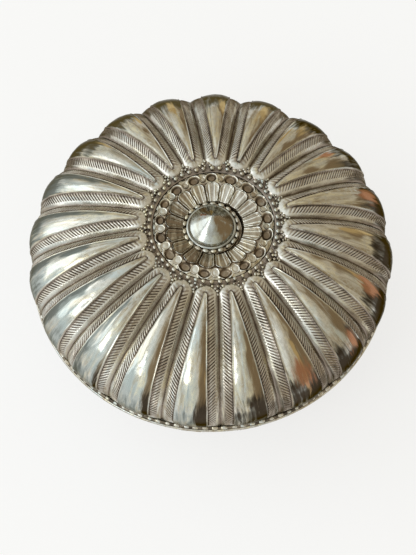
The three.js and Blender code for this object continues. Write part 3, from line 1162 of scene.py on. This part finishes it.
@dataclass
class Medallion:
    """The petalled plate in the middle of the lid, its bead rings and the cone.

    UNDERSIDE and SLOPE_RADII are in millimetres. DISC_PROFILE has shares of the disc's radius and heights
    in millimetres. A grain has its ring's radius, its turn aside in radians and its height over the beads'
    middle. A streak of painted shade on the cone has its strength, its place as a share of a turn, and its
    width. Sides are in degrees.
    """

    level: float
    offset: Pair
    cone_offset: Pair = (0.25 * MM, 0.0)
    cone_lean: Pair = (0.2 * MM, 0.1 * MM)
    plate_radius: float = 21 * MM
    seat_gap: float = 0.3 * MM
    floor_drop: float = 3.8 * MM
    floor_radius: float = 9.8 * MM
    tip_radius: float = 17.1 * MM
    floor_depth: float = 3.5 * MM
    ledge_rise: float = 1.1 * MM
    petal_rise: float = 0.35 * MM
    flute_height: float = 0.17 * MM
    rim_height: float = 0.75 * MM
    rim_centre: float = 0.44 * MM
    rim_width: float = 0.36 * MM
    cup_ring: float = 18.8 * MM
    cup_half: Pair = (2.35 * MM, 1.9 * MM)
    cup_depth: float = 0.95 * MM
    brim_height: float = 0.34 * MM
    disc_ring: float = 18.5 * MM
    disc_radius: float = 1.6 * MM
    disc_side: float = 235
    bead_ring: float = 22.3 * MM
    collar_crown: float = 8.1 * MM
    cone_bead_ring: float = 9.4 * MM
    hole: float = 2.3 * MM
    plate_hole: float = 3.2 * MM

    UNDERSIDE = ((21.0, 2.2), (16.6, 2.2), (10.6, -0.8), (3.2, -0.8))
    DISC_PROFILE = ((0.02, 0.3), (0.35, 0.27), (0.62, 0.2), (0.76, 0.3), (0.88, 0.42), (0.98, 0.3),
                    (1.03, 0.0), (1.0, -0.9), (0.02, -0.9))
    GRAINS = ((23.7, 0.078, -0.35), (23.7, 0.0, -0.35), (23.7, -0.078, -0.35), (24.6, 0.036, -0.55),
              (24.6, -0.036, -0.55), (25.5, 0.0, -0.8), (26.4, 0.0, -1.15))
    SLOPE_RADII = (0.02, 0.35, 0.8, 1.6, 2.6, 3.6, 4.6, 5.6, 6.5, 7.1, 7.45)
    TAN_SHADE_STREAKS = ((0.9, 0.03, 0.07), (0.85, 0.94, 0.07), (0.8, 0.33, 0.04), (0.5, 0.85, 0.04),
                   (0.5, 0.47, 0.04))
    # Sides, in degrees from +X, where painted shadow, painted reflections, painted light and painted shade
    # fall.
    LEDGE_SHADOW_SIDE = 20
    GOLD_REFLECTION_SIDE = 115
    PAINTED_LIGHT_SIDE = 65
    OLIVE_SHADE_SIDE = 205

    def build(self) -> None:
        """Builds the plate, the beads, the collar, the cone and its rivet."""
        self.build_plate()
        self.build_beads()
        self.build_collar()
        self.build_cone()
        self.build_rove()

    @staticmethod
    def ledge_painted_shadow(angle: Array) -> Array:
        """How much painted shadow falls on the ledge round the cone and the plate beside it at each angle:
        most on the far right.
        """
        return step(0.2, 0.9, facing(angle, Medallion.LEDGE_SHADOW_SIDE))

    def petal_height(self, radius: Array, place: Array, petal: Array) -> tuple[Array, Marks]:
        """Height of the plate over its floor.

        Args:
            radius: Distance of each point from the axis.
            place: Place of each point across its petal, from -1 to 1.
            petal: Number of each point's petal.

        Returns:
            The height at each point, and the marks that the finish reads.
        """
        rng = np.random.default_rng(9)
        cup_size = rng.uniform(0.88, 1.12, PETALS.count)[petal]
        cup_ring = self.cup_ring + rng.uniform(-0.2, 0.2, PETALS.count)[petal] * MM
        cup_aside = rng.uniform(-0.3, 0.3, PETALS.count)[petal] * MM
        half = math.pi * radius / PETALS.count
        across = place * half
        slope = step(self.floor_radius - 1 * MM, self.tip_radius + 1 * MM, radius)
        lift = self.ledge_rise * step(self.floor_radius, self.floor_radius + 0.7 * MM, radius)
        height = lift + (self.floor_depth - self.ledge_rise) * (0.15 * slope + 0.85 * np.clip(
            (radius - self.floor_radius) / (self.tip_radius - self.floor_radius), 0, 1))
        shoulder = self.tip_radius - 1.9 * MM
        beyond = np.maximum(0, radius - shoulder) * half / (self.tip_radius - shoulder)
        inside = half - np.hypot(across, beyond)
        clear = step(self.floor_radius - 0.2 * MM, self.floor_radius + 1 * MM, radius)
        in_petal = step(0, 0.25 * MM, inside) * clear
        fullness = np.clip(inside / half, 0, 1)
        flutes = ripple(np.abs(place), 0.36, 0.1) * step(0.3 * MM, 1.1 * MM, inside)
        pillow = self.petal_rise * (1 - (1 - fullness) ** 4)
        height = height + in_petal * (pillow + self.flute_height * flutes)
        rim = ripple(inside, self.rim_centre, self.rim_width) * clear
        height = height + self.rim_height * rim
        cup_out = (radius - cup_ring) / self.cup_half[1]
        cup = np.hypot((across - cup_aside) / self.cup_half[0], cup_out) / cup_size
        hollow = (1 - step(0.45, 1.0, cup)) * (1 - in_petal)
        brim = ripple(cup, 1.06, 0.13) * (1 - in_petal) * step(-0.5, 0.7, cup_out)
        height = height - self.cup_depth * hollow + self.brim_height * brim
        edge = step(self.plate_radius - 0.7 * MM, self.plate_radius, radius)
        height = height - 0.25 * MM * edge
        crease = np.exp(-np.maximum(inside, 0) / (0.2 * MM)) * (radius < self.tip_radius)
        floor = 0.3 * (1 - step(self.floor_radius, self.floor_radius + 0.8 * MM, radius))
        wall = 4 * hollow * (1 - hollow)
        behind_tip = np.exp(-np.maximum(-inside, 0) / (0.35 * MM)) * (1 - in_petal) * (radius > shoulder)
        recess = (0.45 * wall + 0.45 * hollow + 0.3 * crease + 0.3 * in_petal * (1 - flutes) + floor
                  + 0.5 * behind_tip)
        # Petal rims, cup brims and flutes are lightened: partly real wear, partly a painted highlight.
        edge_worn = rim * (0.65 + 0.55 * step(shoulder - 0.5 * MM, shoulder + 0.5 * MM, radius))
        worn = np.maximum(np.maximum(edge_worn, 0.8 * brim), 0.65 * flutes * in_petal)
        # The cups' hollows carry a painted golden reflection, which the plate keeps to one side.
        return height, {"recess": np.clip(recess - 0.4 * worn, 0, 1), "worn": worn, "gold": hollow}

    def build_plate(self) -> None:
        """The plate with its fluted petals, the cups behind their tips and the discs between."""
        floor = self.level + self.seat_gap - self.floor_drop
        radius = np.concatenate([
            np.linspace(self.plate_hole, self.floor_radius - 0.5 * MM, 5),
            np.linspace(self.floor_radius, self.plate_radius, 76),
        ])[:, None]
        steps = 38
        share = np.arange(PETALS.count * steps) / steps
        place = 2 * (share - np.floor(share)) - 1
        angle = PETALS.angle(share)
        petal = np.floor(share).astype(int)
        height, marks = self.petal_height(radius, place[None, :], petal[None, :])
        # Painted golden reflection in the cups, only on the far side.
        on_gold_reflection_side = step(-0.2, 0.8, facing(angle, self.GOLD_REFLECTION_SIDE))
        marks["gold"] = 0.5 * marks["gold"] * on_gold_reflection_side[None, :]
        # Painted shade on the petals on the left, the side turned from the light.
        in_dish = 1 - step(self.tip_radius - 1 * MM, self.tip_radius + 1 * MM, radius)
        marks["olive"] = 0.55 * in_dish * step(-0.2, 0.9, facing(angle, self.OLIVE_SHADE_SIDE))[None, :]
        # Painted shadow of the collar on the plate, on the side turned from the light.
        by_collar = 1 - step(self.floor_radius + 0.6 * MM, self.floor_radius + 1.6 * MM, radius)
        marks["umber"] = 0.32 * by_collar * self.ledge_painted_shadow(angle)[None, :]
        # Painted light on the petals on the far right, the side that faces the light.
        painted_light_side = in_dish * step(0.3, 0.95, facing(angle, self.PAINTED_LIGHT_SIDE))[None, :]
        marks["worn"] = np.maximum(marks["worn"], 0.6 * painted_light_side)
        top = around(radius, floor + height, angle[None, :])
        under_outline = np.array(self.UNDERSIDE) * MM
        under = around(under_outline[:, :1], floor + under_outline[:, 1:], angle[None, :])
        piece = Piece("medallion_plate", Body.LID, Slot.TARNISHED, ("rosette_dish",), offset=self.offset)
        piece.add_skin(np.concatenate([top, under]), **padded(marks, 0, 0.0, len(under), 0.6))
        self.add_discs(piece, floor + self.floor_depth)
        piece.build(TARNISHED)

    def add_discs(self, piece: Piece, level: float) -> None:
        """The round discs between the cups, each domed within a raised edge, largest at the near left.

        Args:
            piece: The piece to add to.
            level: Height of the plate round the discs.
        """
        profile = np.array(self.DISC_PROFILE)
        for index in range(PETALS.count):
            angle = float(PETALS.angle(np.array(index)))
            near_left = float(facing(angle, self.disc_side))
            size = self.disc_radius * (0.7 + 0.3 * step(-0.5, 0.4, near_left))
            disc = turned(np.stack([profile[:, 0] * size, profile[:, 1] * MM], axis=1), 28)
            outward = self.disc_ring + 1.1 * disc[..., 0]
            points = np.stack([outward * math.cos(angle) - disc[..., 1] * math.sin(angle),
                               outward * math.sin(angle) + disc[..., 1] * math.cos(angle),
                               level + disc[..., 2] - 0.12 * disc[..., 0]], axis=-1)
            hollow = 0.75 * ripple(profile[:, :1], 1.03, 0.06) + 0.25 * ripple(profile[:, :1], 0.6, 0.1)
            # The discs on the near left are lightened as a painted highlight.
            piece.add_skin(points, closes=False, recess=hollow + 0 * disc[..., 0],
                           worn=0.55 * step(-0.4, 0.4, near_left) + 0 * disc[..., 0])

    def build_beads(self) -> None:
        """The ring of beads round the plate, and the odd beads between the lobes' arches."""
        middle = sum(levels(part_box("rosette_beads"))) / 2
        piece = Piece("medallion_beads", Body.LID, Slot.CHASED, ("rosette_beads",), offset=self.offset)
        beads(piece, self.bead_ring, middle, count=51, size=(0.85 * MM, 0.72 * MM, 0.72 * MM), seed=8)
        rng = np.random.default_rng(14)
        for groove in range(LOBES.count):
            angle = float(LOBES.angle(np.array(groove)))
            for ring, aside, drop in self.GRAINS:
                ring_jitter, turn_jitter = rng.uniform(-0.25, 0.25), rng.uniform(-0.01, 0.01)
                size = rng.uniform(0.36, 0.64)
                add_bead(piece, (ring + ring_jitter) * MM, middle + drop * MM,
                         angle + aside + turn_jitter, np.array([size, size, 0.5]) * MM)
        piece.build(BEADED)

    def build_collar(self) -> None:
        """The drum under the cone and its ring of small beads."""
        low, high = levels(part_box("finial_collar"))
        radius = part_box("finial_collar")[1][0] - 0.05 * MM
        ledge = high - 0.6 * MM
        corners = [(self.hole, high), (self.collar_crown, high), (self.collar_crown, ledge),
                   (radius, ledge), (radius, low), (self.hole, low)]
        rings = turned(rounded_outline(corners, 0.2 * MM), 160)
        angle = np.linspace(0, FULL_TURN, rings.shape[1], endpoint=False)
        collar = Piece("cone_collar", Body.LID, Slot.TARNISHED, ("finial_collar",), offset=self.cone_offset)
        # Tarnish all round, with painted shadow on the side turned from the light.
        collar.add_skin(rings, recess=0.3, umber=0.3 * self.ledge_painted_shadow(angle))
        collar.build(TARNISHED)
        middle = sum(levels(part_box("finial_collar_beads"))) / 2
        ring = Piece("cone_beads", Body.LID, Slot.CHASED, ("finial_collar_beads",), offset=self.cone_offset)
        beads(ring, self.cone_bead_ring, middle, count=21, size=(1.16 * MM, 0.8 * MM, 0.72 * MM), seed=3)
        ring.build(BEADED)

    def build_cone(self) -> None:
        """The burnished cone with its flat lip, its shank and the riveted head inside the lid."""
        low, high = levels(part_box("finial_cone"))
        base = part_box("finial_collar")[1][2] + 0.3 * MM
        lip_top = base + 0.5 * MM
        head_top = low + 0.8 * MM
        skirt_top = lip_top + 1.2 * MM
        slope = [(radius * MM, high - (high - skirt_top) * (radius / self.SLOPE_RADII[-1]) ** 0.97)
                 for radius in self.SLOPE_RADII]
        profile = (
            (7.6, skirt_top, -0.15), (7.68, lip_top, 0.3), (7.85, lip_top, 0), (8.1, lip_top, 0.08),
            (8.4, lip_top, 0), (8.6, lip_top, -0.15), (8.6, base, 0.1), (8.4, base, 0), (2.0, base, 0),
            (2.0, head_top, 0), (3.0, head_top, 0), (3.2, head_top, -0.3), (2.6, low, 0.15), (0.02, low, 0),
        )
        outline = slope + [(radius * MM, level + rise * MM) for radius, level, rise in profile]
        rings = turned(np.array(outline), 160)
        turn = np.linspace(0, 1, 160, endpoint=False)[None, :]
        reach = np.array([radius for radius, _ in slope])[:, None] / slope[-1][0]
        dents = HandNoise(21, 13, 2).sample(turn, reach)
        rings[:len(slope), :, 2] += dents * 0.1 * MM * reach ** 0.8
        rings[:len(slope), :, :2] += (1 - reach)[:, :, None] * np.array(self.cone_lean)
        piece = Piece("cone_finial", Body.LID, Slot.BURNISHED, ("finial_cone",), sharp_angle=35,
                      offset=self.cone_offset)
        # Painted reflections and shade on the cone by angle: golden and coppery painted reflections on the
        # far side, light brown painted shade in streaks, strongest on the right, and greenish-brown painted
        # shade on the far right.
        marks = {name: np.zeros(rings.shape[:2]) for name in ("recess", "gold", "copper", "tan", "olive")}
        marks["recess"][len(slope) + 2] = 0.7
        outward = step(0.0, 0.2, reach)
        marks["gold"][:len(slope)] = ripple(turn, 0.26, 0.04) * ripple(reach, 0.25, 0.35)
        marks["copper"][:len(slope)] = 0.8 * ripple(turn, 0.40, 0.03) * ripple(reach, 0.5, 0.3)
        marks["tan"][:len(slope)] = outward * sum(
            strength * ripple(turn, middle, width) for strength, middle, width in self.TAN_SHADE_STREAKS)
        marks["olive"][:len(slope)] = 0.4 * outward * (
            ripple(turn, 0.15, 0.06) + 0.6 * ripple(turn, 0.21, 0.03))
        piece.add_skin(rings, closes=False, **marks)
        piece.build(BURNISHED)

    def build_rove(self) -> None:
        """The washer inside the lid over which the cone's shank is riveted."""
        washer = band_corners(self.hole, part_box("finial_rove")[1][0], *levels(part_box("finial_rove")))
        Strip("rivet_washer", Body.LID, "finial_rove", washer, recess=0.3, rounding=0.25 * MM,
              segments=64, offset=self.cone_offset).build()


@dataclass
class Base:
    """The base: chased bowl, the flange that holds the lid, the mouth wire and the foot.

    SHOULDER_INSET and FLOOR_RADII are in millimetres.
    """

    seam: float
    gap: float = 0.3 * MM
    sheet: float = 0.9 * MM
    floor_radius: float = 36 * MM
    foot_height: float = 3 * MM
    foot_width: float = 4 * MM
    mouth_groove_radius: float = 63.7 * MM
    mouth_drop: float = 1.65 * MM

    SHOULDER_INSET = (9, 18)
    FLOOR_RADII = (0.05, 6, 14, 24, 31)

    def groove_line(self) -> GrooveLine:
        """Draws the groove's course up the bowl.

        Returns:
            The line from the foot to the mouth.
        """
        share = np.linspace(0, 1, 500)
        foot = np.array([self.floor_radius, self.foot_height + self.gap])
        mouth = np.array([self.mouth_groove_radius, self.seam - self.mouth_drop])
        shoulder = mouth - np.array(self.SHOULDER_INSET) * MM
        weights = ((1 - share) ** 2, 2 * share * (1 - share), share ** 2)
        points = sum(weight[:, None] * end for weight, end in zip(weights, (foot, shoulder, mouth)))
        return GrooveLine(points[:, 0], points[:, 1], faces_up=False)

    def build(self) -> None:
        """Builds every piece of the base."""
        self.build_bowl()
        self.build_mouth()
        self.build_foot()

    def build_bowl(self) -> None:
        """The bowl: chased outside, the lobes showing as hollows inside, with a flat floor."""
        # The bowl's painted light and shade are weaker than the lid's.
        chasing = LobeChasing(self.groove_line(), LOBES, rise=3.1 * MM, rise_fade=0.6, mouth_rise=0.2 * MM,
                              seed=31, stroke_pitch=1.35 * MM, painted_light_strength=0.55)
        outside, flow, marks = chasing.surface(fine=True)
        mouth_level = self.seam - self.mouth_drop
        outside[-1, :, 2] = mouth_level
        plain, _, _ = chasing.surface(fine=False, rows=26)
        inside = inset(plain, -self.sheet)
        inside[-1, :, 2] = mouth_level
        angle = np.arctan2(outside[0, :, 1], outside[0, :, 0])[None, :]
        floor_low = self.foot_height + self.gap
        floor_radii = np.array(self.FLOOR_RADII)[:, None] * MM
        ripples = 0.12 * MM * np.sin(floor_radii / (2.2 * MM))
        inner_floor = around(floor_radii, floor_low + self.sheet + ripples, angle)
        outer_floor = around(floor_radii, floor_low + ripples, angle)
        inside[0] = around(self.floor_radius, floor_low + self.sheet, angle)
        rings = np.concatenate([inner_floor, inside, outside[::-1], outer_floor[::-1]])
        inner_count = len(inner_floor) + len(inside)
        upturned = {name: values[::-1] for name, values in marks.items()}
        flows = np.concatenate([rings[:inner_count], flow[::-1], rings[inner_count + len(outside):]])
        piece = Piece("chased_bowl", Body.BASE, Slot.CHASED, ("base_bowl",))
        piece.add_skin(rings, closes=False, flow=flows,
                       **padded(upturned, inner_count, 0.2, len(outer_floor), 0.3))
        piece.build(CHASED)

    def build_mouth(self) -> None:
        """The upright flange and the plain wire at the mouth."""
        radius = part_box("base_flange")[1][0]
        flange = band_corners(radius - self.sheet, radius, *levels(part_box("base_flange")))
        Strip("lid_seat_flange", Body.BASE, "base_flange", flange).build()
        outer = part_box("base_edge_wire")[1][0]
        wire = band_corners(radius + self.gap, outer, *levels(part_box("base_edge_wire")))
        Wire("bowl_plain_wire", Body.BASE, "base_edge_wire", wire).build()

    def build_foot(self) -> None:
        """The soldered foot ring, slightly spread where it stands."""
        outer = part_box("foot_ring")[1][0]
        inner = outer - self.foot_width
        corners = [(inner, self.foot_height), (outer - 1 * MM, self.foot_height),
                   (outer - 0.8 * MM, 1.2 * MM), (outer, 0.5 * MM), (outer, 0.0), (inner, 0.0)]
        Strip("standing_foot", Body.BASE, "foot_ring", corners, recess=0.15).build()


@dataclass(frozen=True)
class Lamp:
    """A soft square lamp that faces the box: its place, its side in metres and its power in watts."""

    name: str
    place: Triple
    size: float
    power: float
    colour: Triple
    aim: Triple = (0, 0, 0.04)

    def build(self) -> None:
        """Hangs the lamp."""
        data = bpy.data.lights.new(self.name, "AREA")
        data.size = self.size
        data.energy = self.power
        data.color = self.colour
        lamp = bpy.data.objects.new(self.name, data)
        lamp.location = self.place
        lamp.rotation_euler = (Vector(self.place) - Vector(self.aim)).to_track_quat("Z", "Y").to_euler()
        bpy.context.scene.collection.objects.link(lamp)


@dataclass
class Studio:
    """A pale floor, soft lamps and the camera at the photograph's angle."""

    seam: float
    camera_distance: float = 0.5
    camera_elevation: float = 64.13
    camera_roll: float = 0.127
    focal_pixels: float = 1368.6
    frame_height_pixels: float = 555.0
    sensor: float = 36.0
    aim: Pair = (-0.825 * MM, -5.331 * MM)
    pale_side: Triple = (-1.0, -0.3, 0.3)
    pale_wall: Triple = (0.95, 1.0, 0.99)
    dim_wall: Triple = (0.55, 0.495, 0.385)
    wall_turn: Pair = (-0.25, 0.8)
    floor_colour: Triple = (0.95, 0.95, 0.95)
    floor_reach: float = 4.0
    floor_whiteness: float = 0.7
    lamps: tuple[Lamp, ...] = (
        Lamp("key_window", place=(-0.66, -0.62, 0.78), size=0.42, power=1.4, colour=(0.97, 0.99, 1.0)),
        Lamp("left_window", place=(-1.1, 0.1, 0.55), size=0.9, power=2.3, colour=(0.95, 0.98, 1.0)),
    )

    def build(self) -> None:
        """Builds the floor, the lamps, the surrounding light and the camera."""
        self.build_camera()
        self.build_floor()
        self.build_surroundings()
        for lamp in self.lamps:
            lamp.build()

    def build_camera(self) -> None:
        """The camera that the photograph was fitted to."""
        elevation = math.radians(self.camera_elevation)
        roll = math.radians(self.camera_roll)
        back = Vector((0, -math.cos(elevation), math.sin(elevation)))
        level = Vector((1, 0, 0))
        upright = back.cross(level)
        right = level * math.cos(roll) + upright * math.sin(roll)
        up = upright * math.cos(roll) - level * math.sin(roll)
        data = bpy.data.cameras.new("camera")
        data.sensor_width = self.sensor
        data.lens = self.focal_pixels / self.frame_height_pixels * self.sensor
        data.clip_start = 0.01
        data.clip_end = 50
        camera = bpy.data.objects.new("camera", data)
        place = Matrix((right, up, back)).transposed().to_4x4()
        place.translation = Vector((*self.aim, self.seam)) + back * self.camera_distance
        camera.matrix_world = place
        bpy.context.scene.collection.objects.link(camera)
        bpy.context.scene.camera = camera

    def build_floor(self) -> None:
        """A wide pale floor, partly plain white to the camera and in the metal's reflections."""
        mesh = bpy.data.meshes.new("floor")
        reach = self.floor_reach
        corners = [(-reach, -reach, 0), (reach, -reach, 0), (reach, reach, 0), (-reach, reach, 0)]
        mesh.from_pydata(corners, [], [(0, 1, 2, 3)])
        material = bpy.data.materials.new("pale_floor")
        material.use_nodes = True
        nodes = material.node_tree.nodes
        wiring = Wiring(material.node_tree)
        matt = nodes["Principled BSDF"]
        wiring.feed(matt, Base_Color=self.floor_colour, Roughness=0.9, Specular_IOR_Level=0.1)
        ray = wiring.add("ShaderNodeLightPath")
        seen = wiring.math("MAXIMUM", ray.outputs["Is Camera Ray"], ray.outputs["Is Glossy Ray"])
        mix = wiring.add("ShaderNodeMixShader")
        wiring.feed(mix, Fac=wiring.ramp(seen, 0.0, 1.0, 0.0, self.floor_whiteness))
        white = wiring.add("ShaderNodeEmission").outputs["Emission"]
        for source, target in ((matt.outputs["BSDF"], mix.inputs[1]), (white, mix.inputs[2]),
                               (mix.outputs["Shader"], nodes["Material Output"].inputs["Surface"])):
            material.node_tree.links.new(source, target)
        mesh.materials.append(material)
        floor = bpy.data.objects.new("floor", mesh)
        bpy.context.scene.collection.objects.link(floor)

    def build_surroundings(self) -> None:
        """A plain room: pale above the left and near side, fading to a dim warm right and far side."""
        world = bpy.data.worlds.new("room")
        bpy.context.scene.world = world
        world.use_nodes = True
        wiring = Wiring(world.node_tree)
        facing = wiring.add("ShaderNodeVectorMath", operation="DOT_PRODUCT")
        facing.inputs[1].default_value = self.pale_side
        direction = wiring.add("ShaderNodeTexCoord").outputs["Generated"]
        world.node_tree.links.new(direction, facing.inputs[0])
        share = wiring.ramp(facing.outputs["Value"], *self.wall_turn)
        light = wiring.mix(share, self.dim_wall, self.pale_wall)
        wiring.feed(world.node_tree.nodes["Background"], Color=light)


def main() -> None:
    """Builds the lid, the base and the studio in order."""
    logging.basicConfig(level=logging.INFO, format="%(name)s: %(message)s")
    bpy.context.scene.view_settings.view_transform = "Standard"
    mouth_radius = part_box("lid_edge_wire")[1][0]
    seam = (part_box("lid_edge_wire")[0][2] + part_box("base_edge_wire")[1][2]) / 2
    Studio(seam).build()
    Lid(seam, mouth_radius).build()
    Base(seam).build()


if __name__ == "__main__":
    main()
